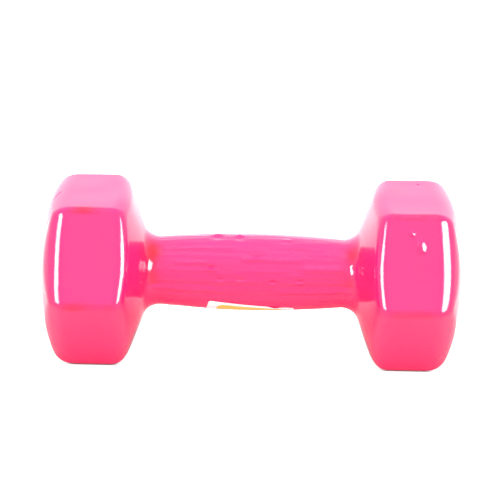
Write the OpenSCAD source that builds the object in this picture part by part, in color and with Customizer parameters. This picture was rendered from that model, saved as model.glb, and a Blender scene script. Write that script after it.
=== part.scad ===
// A hexagonal dumbbell: one iron casting, dipped whole in a soft vinyl coat.
// The handle runs along X, one flat of each head is on the floor, and Z is up.
// The origin is on the floor, halfway between the two heads.

/* [Heads] */
// Length over the domed ends of both heads
overall_l = 170; // [166:0.5:178]
// Width of a head across its flats
head_w = 68.4; // [66:0.2:71]
// Radius of the six long edges between a head's flats
edge_r = 3.4; // [3:0.1:5]
// Radius of the rim round a head's outer end
outer_rim_r = 9.5; // [8:0.1:10.5]
// Radius of the rim on a head's handle side
inner_rim_r = 6.6; // [5.5:0.1:7.5]
// Distance from the middle of the handle to where a head's flats begin
flats_from = 54.1; // [53:0.1:56]
// Radius of the shallow dome on a head's end
dome_r = 130; // [110:1:160]
// Slope of the flare on the handle side, measured from upright
flare_slope = 21.5; // [20:0.5:24]
// How far the flare's rim stands back at the long edges
inner_back = 1.8; // [0:0.1:2.5]
// How far the outer rim stands back at the long edges
outer_back = 2.4; // [0:0.1:3]
// Share of the flare's height over which it turns from round to six-sided
flare_blend = 0.73; // [0.6:0.01:0.85]

/* [Handle] */
// Diameter at the middle of the grip
grip_d = 31.2; // [30.6:0.1:32]
// Radius of the long barrel curve along the grip
barrel_r = 400; // [360:10:480]
// Radius of the fillet between the grip and a head
neck_r = 7; // [6:0.2:8]

/* [Coat] */
// Thickness of the vinyl coat
coat_t = 2; // [1:0.1:2.2]
// Diameter of the hole that the casting hangs from while it is dipped
hang_d = 6.2; // [5:0.1:7]
// Depth of the hanging hole in the iron
hang_depth = 14; // [10:1:20]
// Diameter of the opening that the hanging hook leaves in the coat
mouth_d = 10.2; // [9:0.1:13]
// Space all round the plug in its hole
plug_gap = 0.1; // [0.05:0.05:0.2]
// Length of the plug's stem in the iron
stem_l = 9; // [5:0.5:9.5]

/* [Label] */
// Length of the stuck-on label along the grip
label_l = 35; // [20:1:40]
// Angle that the label wraps round the underside of the grip
label_wrap = 104; // [60:1:150]
// Thickness of the label
label_t = 0.25; // [0.15:0.05:0.4]

/* [Hidden] */

head_a = head_w / 2;     // from the axis to a flat
half_l = overall_l / 2;
edge_share = edge_r / head_a;
round_share = 0.97;      // a section this close to round still has six tiny flats
label_lift = grip_d / 2 * (1 - round_share) * (1 / cos(30) - 1);  // out to the grip's slight corners
sides = [0:5];
edge_steps = 4;          // facets round each of the six long edges
$fn = 96;

// A point on the coat's outline is [along X, out from the axis], then its outward normal, both in one list.
// The outline's circles keep their centres when it is drawn inset.
inner_rim_c = [flats_from, head_a - inner_rim_r];
dome_c = [half_l - dome_r, 0];
outer_rim_a = head_a - outer_rim_r;
outer_rim_c = [dome_c.x + sqrt(pow(dome_r - outer_rim_r, 2) - pow(outer_rim_a, 2)), outer_rim_a];
flats_middle = (flats_from + outer_rim_c.x) / 2;
barrel_c = [0, grip_d / 2 - barrel_r];
neck_c = neck_centre();
neck_a = neck_c.y - neck_r;   // the waist between grip and flare

// Centre of the fillet that touches both the barrel curve and the flare
function neck_centre() =
    let (flare_n = [-cos(flare_slope), sin(flare_slope)],
         flare_d = [sin(flare_slope), cos(flare_slope)],
         above = inner_rim_c + (inner_rim_r + neck_r) * flare_n,
         w = above - barrel_c,
         down = w * flare_d - sqrt(pow(w * flare_d, 2) - w * w + pow(barrel_r + neck_r, 2)))
    above - down * flare_d;

function angle_of(v) = atan2(v.y, v.x);
function polar(r, angle) = r * [cos(angle), sin(angle)];
function smooth(t) = let (s = min(1, max(0, t))) s * s * (3 - 2 * s);

// Outline points along an arc; side is -1 where the iron is outside the circle,
// and start is 1 where the arc before it ends on the same point
function arc(c, r, from, to, steps, start = 0, side = 1) =
    [for (i = [start:steps]) let (u = polar(1, from + (to - from) * i / steps))
        [c.x + r * u.x, c.y + r * u.y, side * u.x, side * u.y]];

// Outline of one half, from the middle of the grip to near the middle of the dome
function half_outline() =
    let (neck_from = angle_of(neck_c - barrel_c),
         rim_to = angle_of(outer_rim_c - dome_c))
    concat(arc(barrel_c, barrel_r, 90, neck_from, 4),
           arc(neck_c, neck_r, neck_from - 180, -flare_slope, 6, start = 1, side = -1),
           arc(inner_rim_c, inner_rim_r, 180 - flare_slope, 90, 5),
           arc(outer_rim_c, outer_rim_r, 90, rim_to, 5),
           arc(dome_c, dome_r, rim_to, asin(0.8 * mouth_d / dome_r), 4, start = 1));

function mirrored(points) = [for (i = [len(points) - 1:-1:1])
    let (p = points[i]) [-p.x, p[1], -p[2], p[3]]];

// How far up the flare a point is, from 0 at the neck to 1 at the flats
function rise(p) = (p.y - neck_a) / (head_a - neck_a);

// Radius of the section's corners as a share of its distance from axis to flat:
// a head's six sides fade to round down the flare, and again towards the crown of the dome
function corner_share(p) =
    let (fade = abs(p.x) > flats_from ? 1 - p.y / outer_rim_a : (1 - rise(p)) / flare_blend)
    min(round_share, edge_share + (1 - edge_share) * smooth(fade));

// How far along X the corners stand back from the flats: both rims of a head are bowed towards its middle
function stand_back(p) =
    let (to_end = (abs(p.x) - flats_middle) / (outer_rim_c.x - flats_middle))
    sign(p.x) * (to_end < 0
        ? inner_back * smooth(-to_end) * smooth(2 * rise(p))
        : -outer_back * smooth(to_end));

// Corner points of the rounded hexagon through one outline point, drawn inset
function section(p, inset) =
    let (corner_r = corner_share(p) * p.y,
         corner_to = (p.y - corner_r) / cos(30),
         r = corner_r - inset * p[3],
         full = pow((head_a - edge_r) / cos(30) + edge_r, 2) - head_a * head_a)
    [for (k = sides, j = [0:edge_steps])
        let (q = polar(corner_to, 60 * k) + polar(r, 60 * k - 30 + 60 * j / edge_steps),
             proud = (q * q - pow(corner_to * cos(30) + r, 2)) / full)
        [p.x - inset * p[2] + stand_back(p) * proud, q.x, q.y]];

// Evenly spaced points round the axis, as many as a section has
function ring(x, r) =
    [for (k = sides, j = [0:edge_steps])
        concat(x, polar(r, 60 * k + 60 * (j - edge_steps / 2) / (edge_steps + 1)))];

// Round ring on the dome
function dome_ring(r, inset) = ring(dome_c.x + sqrt(pow(dome_r - inset, 2) - r * r), r);

function all_rings(inset) = [for (p = concat(mirrored(half_outline()), half_outline())) section(p, inset)];

// Closed solid through a row of rings, with a point at each end
module lofted(first, rings, last) {
    n = len(rings[0]);
    end = len(rings) * n + 1;
    points = concat([first], [for (r = rings, p = r) p], [last]);
    function at(i, j) = 1 + i * n + j % n;
    walls = [for (i = [0:len(rings) - 2], j = [0:n - 1])
        each [[at(i, j), at(i + 1, j + 1), at(i, j + 1)], [at(i, j), at(i + 1, j), at(i + 1, j + 1)]]];
    ends = [for (j = [0:n - 1])
        each [[0, at(0, j), at(0, j + 1)], [end, at(len(rings) - 1, j + 1), at(len(rings) - 1, j)]]];
    translate([0, 0, head_a]) polyhedron(points, concat(walls, ends));
}

// One casting: two heads and the handle, with a blind hole in the end at +X
module iron_core() {
    crown_x = half_l - coat_t;
    bottom_x = crown_x - hang_depth;
    color([0.25, 0.25, 0.27])
        lofted([-crown_x, 0, 0],
               concat(all_rings(coat_t), [dome_ring(hang_d / 2, coat_t), ring(bottom_x, hang_d / 2)]),
               [bottom_x, 0, 0]);
}

// The dipped coat: its outside, then in through the hook's opening and back along the iron
module vinyl_skin() {
    inside = all_rings(coat_t);
    mouth = [dome_ring(mouth_d / 2, 0), dome_ring(mouth_d / 2, coat_t)];
    color([0.98, 0.22, 0.48])
        lofted([-half_l, 0, 0],
               concat(all_rings(0), mouth, [for (i = [len(inside) - 1:-1:0]) inside[i]]),
               [coat_t - half_l, 0, 0]);
}

// Soft plug pressed into the hook's opening, level with the crown of the dome
module hang_hole_plug() {
    color([0.95, 0.18, 0.42]) translate([half_l - coat_t - stem_l, 0, head_a]) rotate([0, 90, 0]) {
        cylinder(d = hang_d - 2 * plug_gap, h = stem_l + coat_t);
        translate([0, 0, stem_l]) cylinder(d = mouth_d - 2 * plug_gap, h = coat_t);
    }
}

// Thin printed film that follows the barrel curve under the grip
module handle_label() {
    on_coat = barrel_r + label_lift;
    color([0.98, 0.75, 0.3]) translate([0, 0, head_a]) rotate([-label_wrap / 2, 0, 0])
        rotate([0, 90, 0]) rotate_extrude(angle = label_wrap, $fn = 180) mirror([1, -1]) intersection() {
            difference() {
                translate(barrel_c) circle(on_coat + label_t);
                translate(barrel_c) circle(on_coat);
            }
            translate([-label_l / 2, 0]) square([label_l, grip_d]);
        }
}

iron_core();
vinyl_skin();
hang_hole_plug();
handle_label();
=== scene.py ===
# %% [markdown]
# A dipped hex dumbbell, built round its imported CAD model. The real one is a single iron casting with
# six-sided heads, hung on a hook, dipped in liquid vinyl and baked, so that the vinyl sets as one soft
# glossy coat. The CAD model gives the sizes and the place of everything. This file gives the looks:
# a smooth coat with its small flaws, the iron inside it, the plug, the label, and a studio to see them in.

# %% Load the frame
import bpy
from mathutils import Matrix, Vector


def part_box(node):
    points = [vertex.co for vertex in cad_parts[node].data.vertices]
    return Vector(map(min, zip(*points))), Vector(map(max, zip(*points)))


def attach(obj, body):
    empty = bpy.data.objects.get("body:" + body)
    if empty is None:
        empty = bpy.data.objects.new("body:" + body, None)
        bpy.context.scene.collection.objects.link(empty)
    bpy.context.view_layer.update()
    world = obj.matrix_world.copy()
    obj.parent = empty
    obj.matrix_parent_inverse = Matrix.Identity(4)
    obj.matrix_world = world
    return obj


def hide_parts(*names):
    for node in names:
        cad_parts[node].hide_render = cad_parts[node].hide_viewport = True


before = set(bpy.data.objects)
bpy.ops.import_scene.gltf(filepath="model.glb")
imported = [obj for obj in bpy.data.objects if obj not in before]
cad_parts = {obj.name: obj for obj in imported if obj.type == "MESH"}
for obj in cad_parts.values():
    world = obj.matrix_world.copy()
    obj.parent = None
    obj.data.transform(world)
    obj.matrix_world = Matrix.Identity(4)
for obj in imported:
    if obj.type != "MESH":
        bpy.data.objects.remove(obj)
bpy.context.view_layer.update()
print("CAD nodes:", sorted(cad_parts))

# %% Libraries and units
import math

import bmesh
import bpy
from mathutils import Matrix, Vector, noise

MM = 0.001
TOUCHING = MM / 1000          # points closer than this are merged
scene = bpy.context.scene

# %% [markdown]
# The camera stands in front of the dumbbell and looks down on it, as on a product on a table. A long
# lens keeps the two heads the same size. The table isn't quite level with the camera, so the view is
# rolled by about a degree. A camera can be aimed with a constraint, but one matrix made from its three
# axes is exact and leaves nothing to evaluate later.

# %% Camera
VIEW_DOWN = math.radians(23.1)
VIEW_ROLL = math.radians(1.23)
VIEW_DISTANCE = 848.5 * MM
VIEW_TARGET = Vector((-0.75, 0, 43.75)) * MM

camera_data = bpy.data.cameras.new("product_camera")
camera_data.lens = 150.7
camera_data.sensor_width = 36.0
camera = bpy.data.objects.new("product_camera", camera_data)
scene.collection.objects.link(camera)
away = Vector((0, -math.cos(VIEW_DOWN), math.sin(VIEW_DOWN)))
level_right = Vector((1, 0, 0))
level_up = away.cross(level_right)
right = level_right * math.cos(VIEW_ROLL) + level_up * math.sin(VIEW_ROLL)
camera.matrix_world = Matrix.Translation(VIEW_TARGET + away * VIEW_DISTANCE) @ Matrix(
    (right, away.cross(right), away)).transposed().to_4x4()
scene.camera = camera
print("camera at", [round(c, 3) for c in camera.matrix_world.translation])

# %% [markdown]
# The heads and the grip are all arcs and straight lines, so a few sizes give the whole outline. The
# overall length and width come from the frame. The rest are the dumbbell's own radii and slopes. A
# head's rims aren't quite flat rings: both stand back a little at the long edges, where the outer one
# is also squarer.

# %% Sizes
coat_low, coat_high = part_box("vinyl_skin")
AXIS_Z = (coat_low.z + coat_high.z) / 2
HEAD_A = AXIS_Z - coat_low.z                 # from the axis to a flat
HALF_L = -coat_low.x
COAT_T = 2.0 * MM
EDGE_R = 3.4 * MM
OUTER_RIM_R = 9.5 * MM
INNER_RIM_R = 6.6 * MM
FLATS_FROM = 54.1 * MM        # from the middle of the handle
DOME_R = 130 * MM
FLARE_SLOPE = math.radians(21.5)
FLARE_BLEND = 0.73            # share of the flare's height over which it turns from round to six-sided
DOME_BLEND = 0.8              # the same for the dome
INNER_BACK = 1.8 * MM         # how far the flare's rim stands back at the long edges
OUTER_BACK = 2.4 * MM
CORNER_CRISP = 0.2            # how much squarer the outer rim is there: 0 is a plain arc
GRIP_R = 15.6 * MM
BARREL_R = 400 * MM
NECK_R = 7 * MM
MOUTH_R = 5.1 * MM
HANG_R = 3.1 * MM
HANG_DEPTH = 14 * MM
PLUG_GAP = 0.1 * MM
print(f"across flats {2 * HEAD_A / MM:.1f} mm, overall {2 * HALF_L / MM:.1f} mm")

# %% [markdown]
# Each arc of the outline has a centre, written here as (along the handle, out from the axis). The
# coat's outer face and the iron under it share these centres, and only their radii differ by the
# coat's thickness. The neck's centre is where a fillet touches both the barrel curve and the flare.

# %% Centres of the outline's arcs
inner_rim_c = Vector((FLATS_FROM, HEAD_A - INNER_RIM_R))
dome_c = Vector((HALF_L - DOME_R, 0))
outer_rim_a = HEAD_A - OUTER_RIM_R
outer_rim_c = Vector((dome_c.x + math.sqrt((DOME_R - OUTER_RIM_R) ** 2 - outer_rim_a ** 2), outer_rim_a))
barrel_c = Vector((0, GRIP_R - BARREL_R))
flare_out = Vector((-math.cos(FLARE_SLOPE), math.sin(FLARE_SLOPE)))
flare_up = Vector((math.sin(FLARE_SLOPE), math.cos(FLARE_SLOPE)))
above = inner_rim_c + (INNER_RIM_R + NECK_R) * flare_out
reach = above - barrel_c
down = reach.dot(flare_up) - math.sqrt(
    reach.dot(flare_up) ** 2 - reach.length_squared + (BARREL_R + NECK_R) ** 2)
neck_c = above - down * flare_up
neck_a = neck_c.y - NECK_R
print(f"waist of the neck {2 * neck_a / MM:.1f} mm across")

# %% [markdown]
# The outline is drawn by walking: one vertex is extruded along a straight run, or spun round the
# centre of an arc, and the vertex where it arrives is walked on from. That keeps every arc true, and
# the step counts decide how fine the mesh is where it bends.

# %% Walking an outline
def place(point):
    return Vector((point[0], 0, AXIS_Z + point[1]))


def walk_to(bm, vert, point, steps):
    """Extrudes vert in equal steps to point, and gives the vertex there."""
    start = vert.co.copy()
    for step in range(1, steps + 1):
        made = bmesh.ops.extrude_vert_indiv(bm, verts=[vert])
        vert = made["verts"][0]
        vert.co = start.lerp(place(point), step / steps)
    return vert


def walk_round(bm, vert, centre, turn, steps):
    """Spins vert round centre by turn, and gives the vertex where it arrives."""
    made = bmesh.ops.spin(bm, geom=[vert], cent=place(centre), axis=(0, 1, 0), dvec=(0, 0, 0),
                          angle=turn, steps=steps)
    return next(v for v in made["geom_last"] if isinstance(v, bmesh.types.BMVert))


def walk_half(bm, inset, fine, end_r):
    """Outline of the half at +X, from the middle of the grip to end_r from the axis on the dome.

    It takes 15 steps along the barrel curve for each 1 of fine, and fewer round the tighter arcs."""
    barrel_turn = math.atan2(neck_c.x, neck_c.y - barrel_c.y)
    rim_turn = math.atan2(outer_rim_c.x - dome_c.x, outer_rim_a)
    vert = bm.verts.new(place((0, GRIP_R - inset)))
    vert = walk_round(bm, vert, barrel_c, barrel_turn, 15 * fine)
    vert = walk_round(bm, vert, neck_c, FLARE_SLOPE - math.pi / 2 - barrel_turn, 10 * fine // 4)
    vert = walk_to(bm, vert, inner_rim_c + (INNER_RIM_R - inset) * flare_out, 9 * fine // 4)
    vert = walk_round(bm, vert, inner_rim_c, math.pi / 2 - FLARE_SLOPE, 9 * fine // 4)
    vert = walk_to(bm, vert, (outer_rim_c.x, HEAD_A - inset), 14 * fine // 4)
    vert = walk_round(bm, vert, outer_rim_c, rim_turn, 10 * fine // 4)
    end_turn = math.asin(end_r / (DOME_R - inset))
    return walk_round(bm, vert, dome_c, math.pi / 2 - rim_turn - end_turn, 11 * fine // 4)

# %% [markdown]
# A dumbbell's head is six-sided, but its grip is round. The outline is therefore spun into a round
# body first, and then each ring is pressed into a hexagon with round corners. How far it is pressed
# depends on where it is: fully on the heads, not at all on the grip, and fading down the flare and
# towards the crown of the dome. More of the points go to the long edges, where the surface turns.

# %% Pressing a round ring into a hexagon
flats_middle = (FLATS_FROM + outer_rim_c.x) / 2
SIDE_TURN = math.pi / 3
TAN30 = math.tan(math.pi / 6)
COS30 = math.cos(math.pi / 6)
EDGE_SHARE = EDGE_R / HEAD_A
LONG_EDGE = (HEAD_A - EDGE_R) / COS30 + EDGE_R          # from the axis to a long edge
CRISP_FADE = math.radians(20)
FLAT_POINTS = 0.6             # share of a ring's points that lie on the flats of a sharp hexagon
dome_turn = math.atan2(outer_rim_a, outer_rim_c.x - dome_c.x)


def smooth(t):
    t = min(1.0, max(0.0, t))
    return t * t * (3 - 2 * t)


def rise(a):
    """How far up the flare a point is: 0 at the neck, 1 at the flats."""
    return (a - neck_a) / (HEAD_A - neck_a)


def corner_radius(x, a, inset):
    """Radius of the corners of the ring at x whose flats are a from the axis."""
    outer_a = a + inset
    if abs(x) > FLATS_FROM:
        fade = (1 - outer_a / outer_rim_a) / DOME_BLEND
    else:
        fade = (1 - rise(outer_a)) / FLARE_BLEND
    share = EDGE_SHARE + (1 - EDGE_SHARE) * smooth(fade)
    return min(a, share * outer_a - inset)


def stand_back(x, a):
    """How far along the handle the long edges stand back at x: both rims of a head are bowed."""
    to_middle = (x - flats_middle) / (outer_rim_c.x - flats_middle)
    if to_middle < 0:
        return INNER_BACK * smooth(-to_middle) * smooth(2 * rise(a))
    return -OUTER_BACK * smooth(to_middle)


def crisp_rim(x, a, inset, proud):
    """Squares up the outer rim's arc near the long edges. Gives x, and how much wider the ring gets."""
    radius = OUTER_RIM_R - inset
    past = (Vector((x, a)) - outer_rim_c) / radius
    turned = math.atan2(past.y, past.x)
    if past.x <= 0 or turned <= dome_turn:
        return x, 1.0
    power = 1 - CORNER_CRISP * proud * smooth((turned - dome_turn) / CRISP_FADE)
    squared = outer_rim_c + radius * Vector((past.x ** power, past.y ** power))
    return squared.x, squared.y / a


def press(co, inset):
    """Where a point of a round ring goes on the rounded hexagon."""
    a = math.hypot(co.y, co.z - AXIS_Z)
    if a < TOUCHING:
        return co
    turned = math.atan2(-co.y, co.z - AXIS_Z)
    side = round(turned / SIDE_TURN)
    part = (turned - side * SIDE_TURN) / (SIDE_TURN / 2)
    corner = corner_radius(co.x, a, inset)
    flat = FLAT_POINTS * math.sqrt(1 - corner / a)
    half_flat = (a - corner) * TAN30
    if abs(part) < flat:
        out, along = a, half_flat * abs(part) / flat
    else:
        bend = (abs(part) - flat) / (1 - flat) * SIDE_TURN / 2
        out = a - corner + corner * math.cos(bend)
        along = half_flat + corner * math.sin(bend)
    along = math.copysign(along, part)
    turn = side * SIDE_TURN
    proud = (out * out + along * along - a * a) / (LONG_EDGE ** 2 - HEAD_A ** 2)
    end, growth = crisp_rim(abs(co.x), a, inset, proud)
    out, along = out * growth, along * growth
    x = math.copysign(end + stand_back(abs(co.x), a) * proud, co.x)
    return Vector((x, -(out * math.sin(turn) + along * math.cos(turn)),
                   AXIS_Z + out * math.cos(turn) - along * math.sin(turn)))


def spin_body(inset, around, fine, end_r):
    """Walks the outline, spins it round the axis, closes the seam and presses it. Open at +X."""
    bm = bmesh.new()
    walk_half(bm, inset, fine, end_r)
    bmesh.ops.mirror(bm, geom=bm.verts[:] + bm.edges[:], axis="X", merge_dist=TOUCHING)
    far_end = min(bm.verts, key=lambda v: v.co.x)
    walk_round(bm, far_end, (-dome_c.x, 0), -math.asin(end_r / (DOME_R - inset)), fine)
    bmesh.ops.spin(bm, geom=bm.verts[:] + bm.edges[:], cent=(0, 0, AXIS_Z), axis=(1, 0, 0),
                   dvec=(0, 0, 0), angle=2 * math.pi, steps=around, use_merge=True)
    bmesh.ops.remove_doubles(bm, verts=bm.verts[:], dist=TOUCHING)
    for vert in bm.verts:
        vert.co = press(vert.co, inset)
    bmesh.ops.recalc_face_normals(bm, faces=bm.faces[:])
    return bm


def piece_from(bm, name, material):
    """Makes the finished bmesh a smooth shaded object at the origin."""
    mesh = bpy.data.meshes.new(name)
    bm.to_mesh(mesh)
    bm.free()
    mesh.materials.append(material)
    mesh.shade_smooth()
    piece = bpy.data.objects.new(name, mesh)
    scene.collection.objects.link(piece)
    print(name, len(mesh.polygons), "faces")
    return piece

# %% [markdown]
# Colours are written as the sRGB hex values that a designer would read off a swatch. Shaders work in
# linear light, so one function turns them. One more function adds a node with its settings and its
# links, which keeps each material short enough to read.

# %% Colour and node helpers
def linear(hex_colour):
    """Linear red, green, blue and alpha of an sRGB hex value."""
    channels = [int(hex_colour[i:i + 2], 16) / 255 for i in (1, 3, 5)]
    return [c / 12.92 if c <= 0.04045 else ((c + 0.055) / 1.055) ** 2.4 for c in channels] + [1.0]


def add_node(tree, kind, settings=None, **inputs):
    """Adds a node. Settings are its properties; inputs are values or the output sockets to link."""
    node = tree.nodes.new(kind)
    for key, value in (settings or {}).items():
        setattr(node, key, value)
    for key, value in inputs.items():
        socket = node.inputs[int(key[3:]) if key.startswith("in_") else key.replace("_", " ")]
        if isinstance(value, bpy.types.NodeSocket):
            tree.links.new(value, socket)
        else:
            socket.default_value = value
    return node


def new_material(name):
    """An empty material, its node tree, and its one shader."""
    material = bpy.data.materials.new(name)
    material.use_nodes = True
    tree = material.node_tree
    tree.nodes.clear()
    surface = tree.nodes.new("ShaderNodeBsdfPrincipled")
    output = tree.nodes.new("ShaderNodeOutputMaterial")
    tree.links.new(surface.outputs["BSDF"], output.inputs["Surface"])
    return material, tree, surface

# %% [markdown]
# The coat is PVC plastisol: liquid vinyl that gels on the hot iron. It is opaque and deeply coloured,
# and it levels while it is liquid, so it is glossy with a faint orange peel and no grain. Shade is
# painted into its colour: a vertex attribute says where the pink is drawn redder, as it looks in shade.

# %% Dipped PVC plastisol, gloss
CLOUD_L = 9 * MM              # soft clouds in the colour
PEEL_L = 4 * MM               # orange peel, from crest to crest
PEEL_H = 0.1 * MM


def dipped_vinyl():
    """Deep glossy pink: sharp reflections that waver a little, and a redder pink painted where it is in
    shade.
    """
    material, tree, surface = new_material("dipped_pvc_plastisol")
    where = add_node(tree, "ShaderNodeTexCoord").outputs["Object"]
    painted_shade = add_node(tree, "ShaderNodeAttribute", {"attribute_name": "painted_shade"}).outputs["Fac"]
    cloud = add_node(tree, "ShaderNodeTexNoise", Vector=where, Scale=1 / CLOUD_L, Detail=3.0).outputs["Fac"]
    cloud_tint = add_node(tree, "ShaderNodeMix", {"data_type": "RGBA"}, in_0=cloud, in_6=linear("#F71C5D"),
                          in_7=linear("#FA1F64")).outputs[2]
    # painted shade: #F80A2C is the redder pink of the coat in shade, mixed in where the attribute says
    tint = add_node(tree, "ShaderNodeMix", {"data_type": "RGBA"}, in_0=painted_shade, in_6=cloud_tint,
                    in_7=linear("#F80A2C"))
    tree.links.new(tint.outputs[2], surface.inputs["Base Color"])
    surface.inputs["Roughness"].default_value = 0.11
    surface.inputs["IOR"].default_value = 1.5
    peel = add_node(tree, "ShaderNodeTexNoise", Vector=where, Scale=1 / PEEL_L, Detail=1.0)
    bump = add_node(tree, "ShaderNodeBump", Height=peel.outputs["Fac"], Strength=0.12, Distance=PEEL_H)
    tree.links.new(bump.outputs["Normal"], surface.inputs["Normal"])
    return material

# %% [markdown]
# No dipped coat is perfect. The casting under the grip has short dents and long shallow runs, the flats
# are a little wavy, and a few blisters and nicks are left in the gel. Each is a smooth bump, placed by
# where it is: along the handle, and how far round from the front. Noise could make them all, but marks
# that are placed one by one look like a maker's and not like a texture. What shows a dent is the light on
# its lower side, so each dent on the grip has a small lip below it. Plain numbers here are millimetres.

# %% Marks in the coat
# Short marks on the grip: along the handle, degrees up from the front, length, width, and height, which
# is below 0 for a dent
TICKS = [(-16.2, 29, 1.7, 0.7, -0.6), (-12.5, 11, 1.7, 0.6, -0.55), (-4.1, 11.5, 1.9, 0.6, -0.5),
         (2, 47, 2.4, 0.7, -0.5), (8.6, 8, 1.8, 0.6, -0.6), (19.5, 10, 1.7, 0.6, -0.55),
         (-14, 95, 2.2, 1.5, 0.55), (-5, 92, 1.6, 1.5, 0.5), (14, 80, 2.0, 0.9, 0.35)]
# Runs along the grip: degrees up from the front, from, to, width, height
RUNS = [(-7, -42, -9, 0.8, 0.45), (-8, 8, 42, 0.8, 0.45), (1.5, -42, 42, 0.7, -0.35),
        (-15, -34, 38, 0.8, -0.3), (60, -38, -4, 0.8, 0.35), (41, -6, 22, 1.2, 0.5),
        (36, -33, -16, 0.7, 0.4), (24, -34, -12, 0.6, 0.3), (28, 19, 39, 1.3, 0.8),
        (24, -2, 16, 0.6, 0.3), (18, 14, 36, 0.6, 0.25), (52, -26, 4, 0.6, -0.25),
        (58, 8, 34, 0.7, -0.3), (150, -30, 10, 0.8, 0.3), (118, -12, 34, 0.8, -0.25),
        (186, -36, 30, 0.7, 0.28)]
# Blisters and nicks on the heads: where, radius, height
FLAWS = [((62.6, -23.4, 62.0), 1.1, 0.62), ((65.8, -25.0, 59.4), 1.4, 0.55),
         ((66.2, -26.0, 57.7), 1.6, 0.7), ((66.6, -26.7, 56.3), 1.2, 0.4),
         ((-79.2, -3.4, 65.9), 0.5, -0.25), ((-78.6, -2.5, 66.4), 0.5, -0.3),
         ((-77.9, -1.5, 66.8), 0.5, -0.3), ((-77.2, -0.6, 67.2), 0.5, -0.25),
         ((67.0, 13.3, 68.4), 0.6, -0.3), ((-58, 34, 40), 0.8, -0.3)]
LIP = 0.8                     # height of the lip below a mark, as a share of the mark's depth
LIP_APART = 1.7               # from the mark to its lip, in widths of the mark
RUN_FADE = 4                  # over which a run rises and dies away
WANDER = 0.35                 # how far a run strays, in its own widths
WANDER_L = 9
STREAK_L = 11                 # faint streaks cover the whole grip
STREAK_W = 1.5
STREAK_H = 0.14
GRIP_END = 43                 # from the middle to where the grip's marks have died away
GRIP_FADE = 5
WAVE_L = 16                   # waves on the flats
WAVE_H = 0.22
FOOT_EDGE = 4                 # the foot itself is flat, and the waves start above it
FLAW_REACH = 3                # how far a blister or nick is felt, in its own radii
print(len(TICKS), "short marks,", len(RUNS), "runs,", len(FLAWS), "blisters and nicks")

# %% [markdown]
# The height of every mark is a bell curve of the distance from it, so the marks blend into each other
# and into the coat. A run is a bell across the grip only, which strays a little as a trickle does.
# Sculpting would do the same, but a formula can be read, changed and run again.

# %% Height of the marks
def bell(*offsets):
    """1 in the middle, and next to nothing at twice the width."""
    return math.exp(-sum(offset * offset for offset in offsets))


def round_from_front(co):
    """Degrees up from the front, from 0 to 360 round the axis."""
    return math.degrees(math.atan2(co.z - AXIS_Z, -co.y)) % 360


def degrees_apart(up, degrees):
    """From -180 to 180, the short way round."""
    return (up - degrees + 180) % 360 - 180


def grip_marks(x, up, radius):
    """Height of the grip's own marks at x along it, up degrees from the front."""
    height = 0.0
    for at, degrees, length, width, tall in TICKS:
        along, across = (x - at) / length, math.radians(up - degrees) * radius / width
        height += tall * bell(along, across) - LIP * tall * bell(along, across + LIP_APART)
    for degrees, start, stop, width, tall in RUNS:
        across = math.radians(degrees_apart(up, degrees)) * radius / width
        wander = WANDER * noise.noise(Vector((x / WANDER_L, degrees, 0)))
        ends = smooth((x - start) / RUN_FADE) * smooth((stop - x) / RUN_FADE)
        height += tall * ends * bell(across + wander)
    return height


def mark_height(co):
    """Height of all the marks at a place on the coat, in millimetres."""
    at = co / MM
    on_grip = smooth((GRIP_END - abs(at.x)) / GRIP_FADE)
    height = 0.0
    if on_grip > 0:
        radius = math.hypot(co.y, co.z - AXIS_Z) / MM
        streaks = noise.noise(Vector((at.x / STREAK_L, at.y / STREAK_W, at.z / STREAK_W)))
        height = on_grip * (grip_marks(at.x, round_from_front(co), radius) + STREAK_H * streaks)
    wave = noise.noise(at / WAVE_L) - 0.5
    height += WAVE_H * wave * (1 - on_grip) * smooth(at.z / FOOT_EDGE)
    for centre, spread, tall in FLAWS:
        off = (at - Vector(centre)).length / spread
        if off < FLAW_REACH:
            height += tall * bell(off)
    return height

# %% [markdown]
# Shade is painted into the coat's colour: the pink is drawn redder along the long edges, which turn
# away from the light, and in patches at the necks, where a head meets the grip and lies in shade.
# Painting a mask by hand would do it. A number from 0 to 1 on each vertex does it too, follows the
# shape, and is read by the material as an attribute.

# %% Where shade is painted redder
# Patches of painted shade: along the handle, degrees up from the front, length, degrees wide, how much
SHADE_PATCHES = [(-39.5, 56, 3.2, 20, 1.0), (-39, 8, 2.4, 16, 0.5), (-41, 32, 2.6, 30, 0.45),
                (40.5, 54, 2.8, 18, 0.8), (39.5, 8, 2.2, 14, 0.45), (57, 101, 3, 4, 0.25),
                (-44, 150, 3, 25, 0.5), (43, 200, 3, 30, 0.5)]
# Painted shade on a long edge: degrees of the edge and to either side, along the handle, length, how much
SHADE_EDGES = [(62.5, 12.5, -66, 5, 0.75), (62.5, 12.5, 58, 4, 0.25), (0, 15, -71, 5, 0.22)]
EDGE_SHADE = 0.3             # how much shade is painted on all the long edges, in patches
PATCHY_L = 7
EDGE_FROM = 0.9               # the painted shade starts this far inside a long edge
EDGE_FADE = 0.7


def painted_shade_at(co):
    """How much shade is painted into the coat, from 0 to 1."""
    at = co / MM
    up = round_from_front(co)
    past_edge = (math.hypot(co.y, co.z - AXIS_Z) - LONG_EDGE) / MM
    edge = smooth((past_edge + EDGE_FROM) / EDGE_FADE)
    painted_shade = EDGE_SHADE * edge * smooth(0.5 + noise.noise(at / PATCHY_L))
    for degrees, to_side, middle, length, much in SHADE_EDGES:
        if abs(degrees_apart(up, degrees)) < to_side:
            painted_shade += much * edge * bell((at.x - middle) / length)
    for middle, degrees, length, spread, much in SHADE_PATCHES:
        painted_shade += much * bell((at.x - middle) / length, (up - degrees) / spread)
    return min(1.0, painted_shade)

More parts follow.
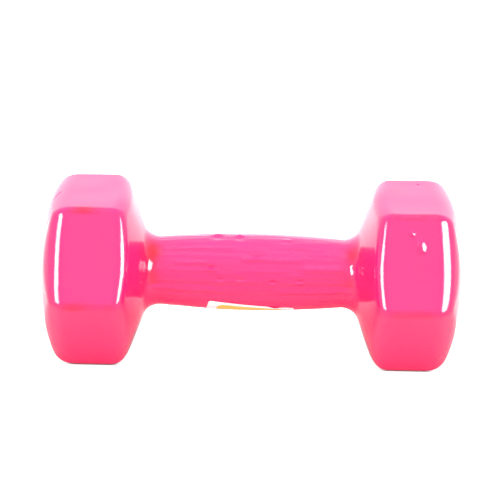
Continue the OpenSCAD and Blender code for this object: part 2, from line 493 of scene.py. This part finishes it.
# %% [markdown]
# The outside of the coat is the thing that everyone sees, so it is spun fine and then refined further
# near the smallest marks only. A Subdivision modifier would refine all of it, at many times the faces.
# The marks are pushed in or out along the normals, as a sculpting brush would.

# %% Finding the edges near a mark
TICK_NEAR = (5, 10)           # along the handle, and in degrees
FLAW_NEAR = 3.5


def near_a_tick(co):
    along, up = co.x / MM, round_from_front(co)
    return any(abs(along - tick[0]) < TICK_NEAR[0] and abs(up - tick[1]) < TICK_NEAR[1] for tick in TICKS)


def near_a_flaw(co):
    return any((co / MM - Vector(flaw[0])).length < FLAW_NEAR for flaw in FLAWS)


# %% Outside of the coat
bm = spin_body(inset=0, around=264, fine=4, end_r=MOUTH_R)
for near, cuts in ((near_a_tick, 1), (near_a_flaw, 3)):
    close = [e for e in bm.edges if near((e.verts[0].co + e.verts[1].co) / 2)]
    bmesh.ops.subdivide_edges(bm, edges=close, cuts=cuts, use_grid_fill=True)
    print(near.__name__, "refines", len(close), "edges")
bm.normal_update()
moved = [(vert, vert.co + vert.normal * mark_height(vert.co) * MM) for vert in bm.verts]
for vert, place_to in moved:
    vert.co = place_to
# painted shade: each vertex stores how much redder its pink is drawn
painted_shade_layer = bm.verts.layers.float.new("painted_shade")
for vert in bm.verts:
    vert[painted_shade_layer] = painted_shade_at(vert.co)

# %% [markdown]
# The coat is one closed shell: the outside, the lining against the iron, and the rim of the opening
# that the hook left. A Solidify modifier would thicken the outside alone, but its thickness would be
# wrong on the pressed edges, so the lining is spun on its own and bridged to the outside.

# %% Lining, and the finished coat
lining = spin_body(inset=COAT_T, around=96, fine=1, end_r=MOUTH_R)
bmesh.ops.reverse_faces(lining, faces=lining.faces[:])
lining_mesh = bpy.data.meshes.new("lining")
lining.to_mesh(lining_mesh)
lining.free()
bm.from_mesh(lining_mesh)
bpy.data.meshes.remove(lining_mesh)
bmesh.ops.bridge_loops(bm, edges=[e for e in bm.edges if e.is_boundary])
coat = piece_from(bm, "vinyl_coat", dipped_vinyl())
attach(coat, "root")
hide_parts("vinyl_skin")
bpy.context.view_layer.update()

# %% [markdown]
# Under the coat is the weight itself: heads and handle poured as one piece of grey iron in a sand
# mould. Bare cast iron is a dull dark metal with the grain of the sand, and patches of browner scale.
# An image of it would need a seam somewhere. Two noises, at the sizes of the grain and of the patches,
# need none.

# %% Grey cast iron, sand-cast
GRAIN_L = 0.5 * MM
GRAIN_H = 0.15 * MM
SCALE_L = 12 * MM


def cast_iron():
    """Dull dark metal that no reflection is sharp in."""
    material, tree, surface = new_material("grey_cast_iron_sand_cast")
    surface.inputs["Metallic"].default_value = 1.0
    where = add_node(tree, "ShaderNodeTexCoord").outputs["Object"]
    grain = add_node(tree, "ShaderNodeTexNoise", Vector=where, Scale=1 / GRAIN_L, Detail=4.0).outputs["Fac"]
    scale_patches = add_node(tree, "ShaderNodeTexNoise", Vector=where, Scale=1 / SCALE_L).outputs["Fac"]
    tint = add_node(tree, "ShaderNodeMix", {"data_type": "RGBA"}, in_0=scale_patches, in_6=linear("#2E2E31"),
                    in_7=linear("#5A5652"))
    tree.links.new(tint.outputs[2], surface.inputs["Base Color"])
    rough = add_node(tree, "ShaderNodeMapRange", Value=grain, To_Min=0.45, To_Max=0.75)
    tree.links.new(rough.outputs[0], surface.inputs["Roughness"])
    bump = add_node(tree, "ShaderNodeBump", Height=grain, Strength=0.6, Distance=GRAIN_H)
    tree.links.new(bump.outputs["Normal"], surface.inputs["Normal"])
    return material

# %% [markdown]
# The casting fills the lining, so it is the same outline, spun again and closed. It has the blind hole
# that it hangs from while it is dipped. A boolean would cut that hole, but the spun body is still open
# at one end, so the hole is that end, extruded inwards and filled.

# %% Casting
IRON_DENSITY = 7200           # kilograms per cubic metre

bm = spin_body(inset=COAT_T, around=144, fine=2, end_r=HANG_R)
hole = bmesh.ops.extrude_edge_only(bm, edges=[e for e in bm.edges if e.is_boundary])
for vert in hole["geom"]:
    if isinstance(vert, bmesh.types.BMVert):
        vert.co.x = HALF_L - COAT_T - HANG_DEPTH
bmesh.ops.holes_fill(bm, edges=[e for e in bm.edges if e.is_boundary])
bmesh.ops.recalc_face_normals(bm, faces=bm.faces[:])
volume = bm.calc_volume()
print(f"casting {volume / (10 * MM) ** 3:.1f} cm3, {volume * IRON_DENSITY:.2f} kg of grey iron")
casting = piece_from(bm, "iron_casting", cast_iron())
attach(casting, "root")
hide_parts("iron_core")

# %% [markdown]
# The hook leaves a hole in the coat at one end, and a soft plug closes it. It is the same pink vinyl,
# but it comes out of a mould, and a mould's walls are never as smooth as a liquid's surface. So it is
# duller than the coat, with a fine even texture.

# %% Soft PVC, moulded
PLUG_CLOUD_L = 3 * MM
TEXTURE_L = 0.3 * MM
TEXTURE_H = 0.03 * MM


def soft_plug():
    """Satin pink, whose highlights are wide and soft."""
    material, tree, surface = new_material("soft_pvc_moulded")
    where = add_node(tree, "ShaderNodeTexCoord").outputs["Object"]
    cloud = add_node(tree, "ShaderNodeTexNoise", Vector=where, Scale=1 / PLUG_CLOUD_L).outputs["Fac"]
    tint = add_node(tree, "ShaderNodeMix", {"data_type": "RGBA"}, in_0=cloud, in_6=linear("#E81A5C"),
                    in_7=linear("#F22364"))
    tree.links.new(tint.outputs[2], surface.inputs["Base Color"])
    surface.inputs["Roughness"].default_value = 0.38
    surface.inputs["IOR"].default_value = 1.5
    texture = add_node(tree, "ShaderNodeTexNoise", Vector=where, Scale=1 / TEXTURE_L).outputs["Fac"]
    bump = add_node(tree, "ShaderNodeBump", Height=texture, Strength=0.3, Distance=TEXTURE_H)
    tree.links.new(bump.outputs["Normal"], surface.inputs["Normal"])
    return material

# %% [markdown]
# The plug is a flat cap level with the dome, and a stem that grips the hole in the iron. Two cylinders
# would leave sharp rims and a flat top. It is a turned shape, so half its section is walked, with the
# round on the cap and the chamfer on the stem, and spun all the way round.

# %% Plug
plug_low, plug_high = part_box("hang_hole_plug")
CAP_R = MOUTH_R - PLUG_GAP
STEM_R = HANG_R - PLUG_GAP
CAP_ROUND = 0.6 * MM
STEM_CHAMFER = 0.8 * MM
cap_turn = math.asin((CAP_R - CAP_ROUND) / (DOME_R - CAP_ROUND))
round_c = dome_c + (DOME_R - CAP_ROUND) * Vector((math.cos(cap_turn), math.sin(cap_turn)))
under_cap = HALF_L - COAT_T

bm = bmesh.new()
vert = bm.verts.new(place((HALF_L, 0)))
vert = walk_round(bm, vert, dome_c, -cap_turn, 8)
vert = walk_round(bm, vert, round_c, cap_turn - math.pi / 2, 6)
vert = walk_to(bm, vert, (under_cap, CAP_R), 2)
vert = walk_to(bm, vert, (under_cap, STEM_R), 2)
vert = walk_to(bm, vert, (plug_low.x + STEM_CHAMFER, STEM_R), 6)
vert = walk_to(bm, vert, (plug_low.x, STEM_R - STEM_CHAMFER), 2)
vert = walk_to(bm, vert, (plug_low.x, 0), 3)
bmesh.ops.spin(bm, geom=bm.verts[:] + bm.edges[:], cent=(0, 0, AXIS_Z), axis=(1, 0, 0),
               dvec=(0, 0, 0), angle=2 * math.pi, steps=72, use_merge=True)
bmesh.ops.remove_doubles(bm, verts=bm.verts[:], dist=TOUCHING)
bmesh.ops.recalc_face_normals(bm, faces=bm.faces[:])
plug = piece_from(bm, "hang_plug", soft_plug())
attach(plug, "root")
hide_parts("hang_hole_plug")

# %% [markdown]
# A printed sticker is wrapped round the underside of the grip: white film with one plain orange panel.
# Light is painted into the panel: it is drawn paler towards its front edge, which turns out from under
# the grip to the light. The film stays flat while it is printed, so each point keeps where it was on
# the flat film as an attribute, and the ink reads that. A panel cut out as faces of its own would need
# a finer mesh for the same clean edge.

# %% Printed film
LABEL_L = 35 * MM
LABEL_W = 28 * MM
LABEL_T = 0.12 * MM
LABEL_ASKEW = math.radians(8.0)               # it was stuck on by hand
LABEL_MIDDLE = Vector((-1.6, 0.6)) * MM       # off the middle of the underside
LABEL_CORNER = 1.2 * MM
PANEL_L = 27 * MM
PANEL_W = 24.6 * MM
PANEL_CORNER = 3 * MM
panel_core = Vector((PANEL_L / 2 - PANEL_CORNER, PANEL_W / 2 - PANEL_CORNER, 0)) / MM
INK_EDGE = 0.05               # mm to either side over which the ink ends


def printed_film():
    """Glossy white film. The ink is all that lies within its corner radius of the panel's core, and its
    orange is painted paler towards the front, as lit.
    """
    material, tree, surface = new_material("printed_polypropylene_film")
    flat = add_node(tree, "ShaderNodeAttribute", {"attribute_name": "flat_mm"}).outputs["Vector"]
    off = add_node(tree, "ShaderNodeVectorMath", {"operation": "ABSOLUTE"}, in_0=flat).outputs[0]
    past = add_node(tree, "ShaderNodeVectorMath", {"operation": "SUBTRACT"}, in_0=off, in_1=panel_core)
    past = add_node(tree, "ShaderNodeVectorMath", {"operation": "MAXIMUM"}, in_0=past.outputs[0])
    reach = add_node(tree, "ShaderNodeVectorMath", {"operation": "LENGTH"}, in_0=past.outputs[0])
    ink = add_node(tree, "ShaderNodeMapRange", Value=reach.outputs["Value"],
                   From_Min=PANEL_CORNER / MM - INK_EDGE, From_Max=PANEL_CORNER / MM + INK_EDGE,
                   To_Min=1.0, To_Max=0.0).outputs[0]
    apart = add_node(tree, "ShaderNodeSeparateXYZ", Vector=flat)
    # painted light: the orange is drawn paler towards the front edge, which faces out to the light
    painted_front_light = add_node(tree, "ShaderNodeMapRange", Value=apart.outputs["Y"], From_Min=-PANEL_W / MM / 2,
                     From_Max=PANEL_W / MM / 2).outputs[0]
    orange = add_node(tree, "ShaderNodeMix", {"data_type": "RGBA"}, in_0=painted_front_light, in_6=linear("#F5AA2C"),
                      in_7=linear("#F7BE4C")).outputs[2]
    printed = add_node(tree, "ShaderNodeMix", {"data_type": "RGBA"}, in_0=ink, in_6=linear("#F1EFEF"),
                       in_7=orange).outputs[2]
    tree.links.new(printed, surface.inputs["Base Color"])
    surface.inputs["Roughness"].default_value = 0.3
    surface.inputs["IOR"].default_value = 1.49
    return material

# %% [markdown]
# The sticker is a flat grid first, where it is easy to round its corners and turn it a little askew.
# Then each point is bent on to the barrel under the grip, and the front edge is lifted, most of all in
# one wrinkle. A Shrinkwrap modifier would lay it down too, but would pull it into the coat's marks.

# %% Flat film, and the way it is stuck on
GLUE_T = 0.03 * MM
EDGE_BAND = 2.2 * MM          # the front edge has come away a little over this width
EDGE_LIFT = 0.05 * MM
WRINKLE_AT = 9.5 * MM
WRINKLE_L = 2.0 * MM
WRINKLE_LIFT = 0.55 * MM


def rounded(co):
    """Draws a point in the square corner of the film in to a round one."""
    past = [max(0.0, abs(co[i]) - size / 2 + LABEL_CORNER) for i, size in ((0, LABEL_L), (1, LABEL_W))]
    if min(past) > 0:
        for i in (0, 1):
            inner = co[i] - math.copysign(past[i], co[i])
            co[i] = inner + math.copysign(past[i], co[i]) * max(past) / math.hypot(*past)
    return co


def stuck_on(co):
    """Where a point of the flat film lies on the underside of the grip."""
    near_edge = smooth(1 - (LABEL_W / 2 - co.y) / EDGE_BAND)
    wrinkle = bell((co.x - WRINKLE_AT) / WRINKLE_L)
    lift = GLUE_T + near_edge * (EDGE_LIFT + WRINKLE_LIFT * wrinkle)
    x, round_grip = LABEL_MIDDLE + Matrix.Rotation(-LABEL_ASKEW, 2) @ co.xy
    out = barrel_c.y + math.sqrt(BARREL_R ** 2 - x * x) + lift
    turn = round_grip / GRIP_R
    return Vector((x, -out * math.sin(turn), AXIS_Z - out * math.cos(turn)))

# %% Sticker
bm = bmesh.new()
bmesh.ops.create_grid(bm, x_segments=56, y_segments=44, size=0.5)
bmesh.ops.scale(bm, vec=(LABEL_L, LABEL_W, 1), verts=bm.verts[:])
flat_mm = bm.verts.layers.float_vector.new("flat_mm")
for vert in bm.verts:
    vert[flat_mm] = vert.co / MM
    vert.co = stuck_on(rounded(vert.co))
bmesh.ops.recalc_face_normals(bm, faces=bm.faces[:])
sticker = piece_from(bm, "grip_sticker", printed_film())
solidify = sticker.modifiers.new("film", "SOLIDIFY")
solidify.thickness = LABEL_T
solidify.offset = 1.0
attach(sticker, "root")
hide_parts("handle_label")

# %% [markdown]
# The studio is a light table: frosted acrylic, lit from below, so that the ground is blank white and
# there are next to no shadows. A floor that only reflects would need twice the light from above to
# turn white, and that would bleach the coat. The floor here glows a little and reflects a little. It
# glows least under the handle, a painted shadow of the handle in the light that reaches the coat from
# below, more where it is open in front and behind, and most well behind the dumbbell. Under the two
# feet and a little past them the glow is cut out, a painted contact shadow that draws a thin line.

# %% Frosted acrylic, lit from below
HANDLE_SHADOW_GLOW = 0.12             # under the handle, lowered there as a painted shadow of the handle
OPEN_GLOW = 0.42              # in front and behind, where the table is open
BACK_GLOW = 0.8               # on top of that, well behind
SEEN_GLOW = 0.72              # more for whoever looks at the table, so that it is blank white
foot_l = outer_rim_c.x - FLATS_FROM
FOOT_W = 2 * 19.4 * MM        # the flat, and a little of the round long edges beside it, where the painted contact shadow lies
FOOT_BLUR = Vector((2.0, 0.5)) * MM
OPEN = Vector((16, 29)) * MM  # from under the axis, where the open glow begins and where it is full
BACK = Vector((50, 250)) * MM                 # the same for the back's


def light_table():
    """Blank white to look at, and a soft light from below to the dumbbell, with painted shadows under the
    handle and the feet.
    """
    material, tree, surface = new_material("frosted_acrylic_light_table")
    surface.inputs["Base Color"].default_value = linear("#9F9F9F")
    surface.inputs["Roughness"].default_value = 0.9
    surface.inputs["Emission Color"].default_value = linear("#FFFFFF")
    where = add_node(tree, "ShaderNodeTexCoord").outputs["Object"]
    across = add_node(tree, "ShaderNodeSeparateXYZ", Vector=where).outputs["Y"]
    off = add_node(tree, "ShaderNodeVectorMath", {"operation": "ABSOLUTE"}, in_0=where).outputs[0]
    off = add_node(tree, "ShaderNodeSeparateXYZ", Vector=off)
    # painted shadow: the glow is lowest under the handle and rises towards the open table
    glow_with_handle_shadow = add_node(tree, "ShaderNodeMapRange", Value=off.outputs["Y"], From_Min=OPEN.x,
                         From_Max=OPEN.y, To_Min=HANDLE_SHADOW_GLOW, To_Max=OPEN_GLOW).outputs[0]
    back_glow = add_node(tree, "ShaderNodeMapRange", Value=across, From_Min=BACK.x, From_Max=BACK.y,
                         To_Min=0.0, To_Max=BACK_GLOW).outputs[0]
    glow = add_node(tree, "ShaderNodeMath", {"operation": "ADD"}, in_0=glow_with_handle_shadow, in_1=back_glow).outputs[0]
    seen = add_node(tree, "ShaderNodeLightPath").outputs["Is Camera Ray"]
    glow = add_node(tree, "ShaderNodeMath", {"operation": "MULTIPLY_ADD"}, in_0=seen, in_1=SEEN_GLOW,
                    in_2=glow).outputs[0]
    # painted contact shadow: the glow is cut out under each foot and just past it
    off_foot = add_node(tree, "ShaderNodeMath", {"operation": "SUBTRACT"}, in_0=off.outputs["X"],
                        in_1=flats_middle).outputs[0]
    off_foot = add_node(tree, "ShaderNodeMath", {"operation": "ABSOLUTE"}, in_0=off_foot).outputs[0]
    beside = add_node(tree, "ShaderNodeMapRange", Value=off_foot, From_Min=foot_l / 2 - FOOT_BLUR.x,
                      From_Max=foot_l / 2 + FOOT_BLUR.x).outputs[0]
    before = add_node(tree, "ShaderNodeMapRange", Value=off.outputs["Y"], From_Min=FOOT_W / 2 - FOOT_BLUR.y,
                      From_Max=FOOT_W / 2 + FOOT_BLUR.y).outputs[0]
    clear = add_node(tree, "ShaderNodeMath", {"operation": "MAXIMUM"}, in_0=beside, in_1=before).outputs[0]
    glow = add_node(tree, "ShaderNodeMath", {"operation": "MULTIPLY"}, in_0=glow, in_1=clear).outputs[0]
    tree.links.new(glow, surface.inputs["Emission Strength"])
    return material

# %% Light table
TABLE_W = 6.0                 # metres, so that its edges are far out of sight

bm = bmesh.new()
bmesh.ops.create_grid(bm, x_segments=1, y_segments=1, size=TABLE_W / 2)
floor = piece_from(bm, "studio_floor", light_table())

# %% [markdown]
# The light above the table is soft and comes from all round, a little brighter at the back. Two
# softboxes stand low at the sides. They draw the tall highlights on the rims of the heads, and the
# roundness of the rims decides how thin each highlight is. The right one is small and stands close. They
# would also light one side of each head more than the other, so they are seen in reflections only. Two
# large fills, overhead and in front, do the opposite: they light the surface and show in no reflection,
# as lights behind a tent would.

# %% Lights
# Degrees round from the front and up, distance, width, height, radiance, and what can't see it
LIGHTS = {
    "softbox_left": (-56, 21, 1.2, 0.36, 0.56, 25, "visible_diffuse"),
    "softbox_right": (62, 21, 0.35, 0.16, 0.16, 25, "visible_diffuse"),
    "overhead_fill": (0, 90, 1.5, 1.0, 1.0, 10.5, "visible_glossy"),
    "front_fill": (0, 45, 1.5, 1.0, 1.0, 3.0, "visible_glossy"),
}


def area_light(name, turn, up, far, width, height, radiance, hidden_from):
    """A rectangle of light, aimed at the middle of the dumbbell."""
    data = bpy.data.lights.new(name, "AREA")
    data.shape = "RECTANGLE"
    data.size, data.size_y = width, height
    data.energy = radiance * math.pi * width * height
    lamp = bpy.data.objects.new(name, data)
    scene.collection.objects.link(lamp)
    turn, up = math.radians(turn), math.radians(up)
    towards = Vector((math.cos(up) * math.sin(turn), -math.cos(up) * math.cos(turn), math.sin(up)))
    lamp.location = Vector((0, 0, AXIS_Z)) + far * towards
    lamp.rotation_euler = towards.to_track_quat("Z", "Y").to_euler()
    setattr(lamp, hidden_from, False)


for name, settings in LIGHTS.items():
    area_light(name, *settings)
print("lights:", ", ".join(LIGHTS))

# %% [markdown]
# The rest of the light is the white room itself. A plain white world would do, but the top flats of the
# heads reflect what is behind the dumbbell. So the world is brighter straight behind, and that sets
# them off from the flats in front.

# %% World
ALL_ROUND = 1.35
BEHIND = 0.95                 # on top of that, straight behind
GATHER = 4.0                  # how much the back's light is gathered to the middle

world = bpy.data.worlds.new("studio")
scene.world = world
world.use_nodes = True
tree = world.node_tree
direction = add_node(tree, "ShaderNodeTexCoord").outputs["Generated"]
backwards = add_node(tree, "ShaderNodeSeparateXYZ", Vector=direction).outputs["Y"]
backwards = add_node(tree, "ShaderNodeMath", {"operation": "MAXIMUM"}, in_0=backwards, in_1=0.0).outputs[0]
behind = add_node(tree, "ShaderNodeMath", {"operation": "POWER"}, in_0=backwards, in_1=GATHER).outputs[0]
level = add_node(tree, "ShaderNodeMath", {"operation": "MULTIPLY_ADD"}, in_0=behind, in_1=BEHIND,
                 in_2=ALL_ROUND)
tree.links.new(level.outputs[0], tree.nodes["Background"].inputs["Strength"])
tree.nodes["Background"].inputs["Color"].default_value = linear("#FFFFFF")
scene.view_settings.view_transform = "Standard"
print("world light from", ALL_ROUND, "to", ALL_ROUND + BEHIND)
